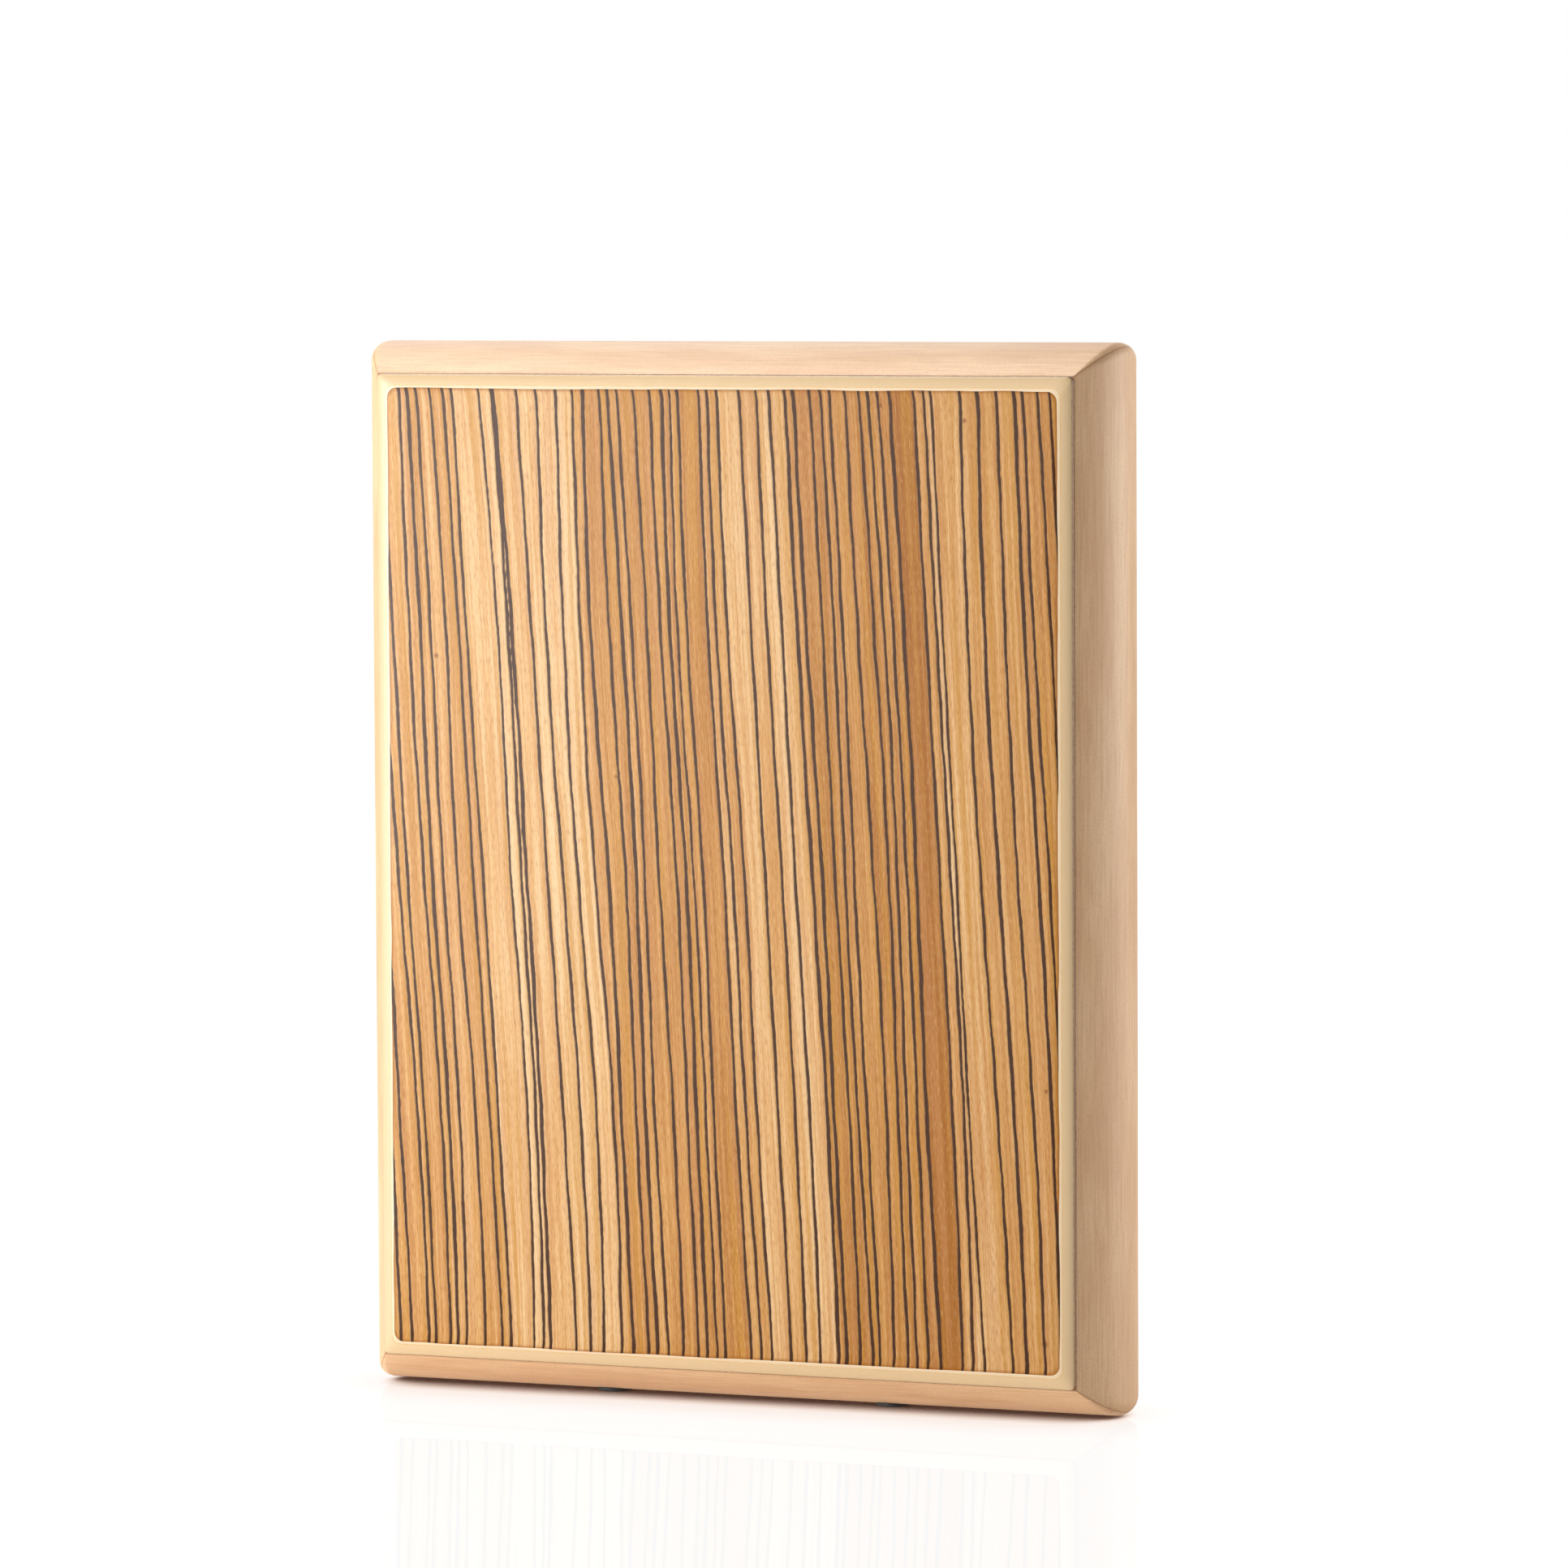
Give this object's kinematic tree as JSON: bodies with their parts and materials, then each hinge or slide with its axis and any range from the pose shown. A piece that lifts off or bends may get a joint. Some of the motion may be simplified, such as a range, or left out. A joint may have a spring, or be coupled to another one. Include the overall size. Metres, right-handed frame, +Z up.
{
  "type": "travel cajon",
  "caption": "Slim travel cajon: a mitred bullnose hardwood frame closed by a striped zebrano veneered playing face and a plywood back with a sound hole, standing on small rubber feet.",
  "frame": {"origin": "on the floor, under the middle of the drum: midway between the side rails and midway between the outer faces of the playing face and the back", "axes": "+Z up along the drum's height, +Y from the playing face towards the back, +X to the right as seen by someone who faces the playing face"},
  "size_m": [0.3486, 0.0668, 0.451],
  "materials": {
    "maple_rail": "pale straight-grained maple, sanded and sealed with satin lacquer",
    "beech_joinery": "planed beech, unfinished",
    "birch_plywood": "cream plywood with a sanded rounded edge, satin lacquer",
    "zebrano_veneer": "golden veneer with dark brown stripes along the height, satin lacquer",
    "zinc_plated_steel": "zinc plated screw steel",
    "snare_steel": "bright drawn steel wire soldered to a steel strip",
    "wool_felt": "dark pressed wool felt",
    "black_rubber": "matt black rubber"
  },
  "bodies": {
    "root": {"top_rail": "maple_rail", "bottom_rail": "maple_rail", "left_rail": "maple_rail", "right_rail": "maple_rail", "spline_top_left": "beech_joinery", "spline_top_right": "beech_joinery", "spline_bottom_left": "beech_joinery", "spline_bottom_right": "beech_joinery", "glue_block_top_left": "beech_joinery", "glue_block_top_right": "beech_joinery", "glue_block_bottom_left": "beech_joinery", "glue_block_bottom_right": "beech_joinery", "tapa_core": "birch_plywood", "tapa_veneer": "zebrano_veneer", "back_panel": "birch_plywood", "snare_bar": "beech_joinery", "snare_cleat_left": "beech_joinery", "snare_cleat_right": "beech_joinery", "cleat_screw_left": "zinc_plated_steel", "cleat_screw_right": "zinc_plated_steel", "snare_set_left": "snare_steel", "snare_set_right": "snare_steel", "snare_screw_left_left": "zinc_plated_steel", "snare_screw_left_right": "zinc_plated_steel", "snare_screw_right_left": "zinc_plated_steel", "snare_screw_right_right": "zinc_plated_steel", "snare_felt": "wool_felt", "foot_left": "black_rubber", "foot_right": "black_rubber", "foot_screw_left": "zinc_plated_steel", "foot_screw_right": "zinc_plated_steel"}
  },
  "joints": []
}
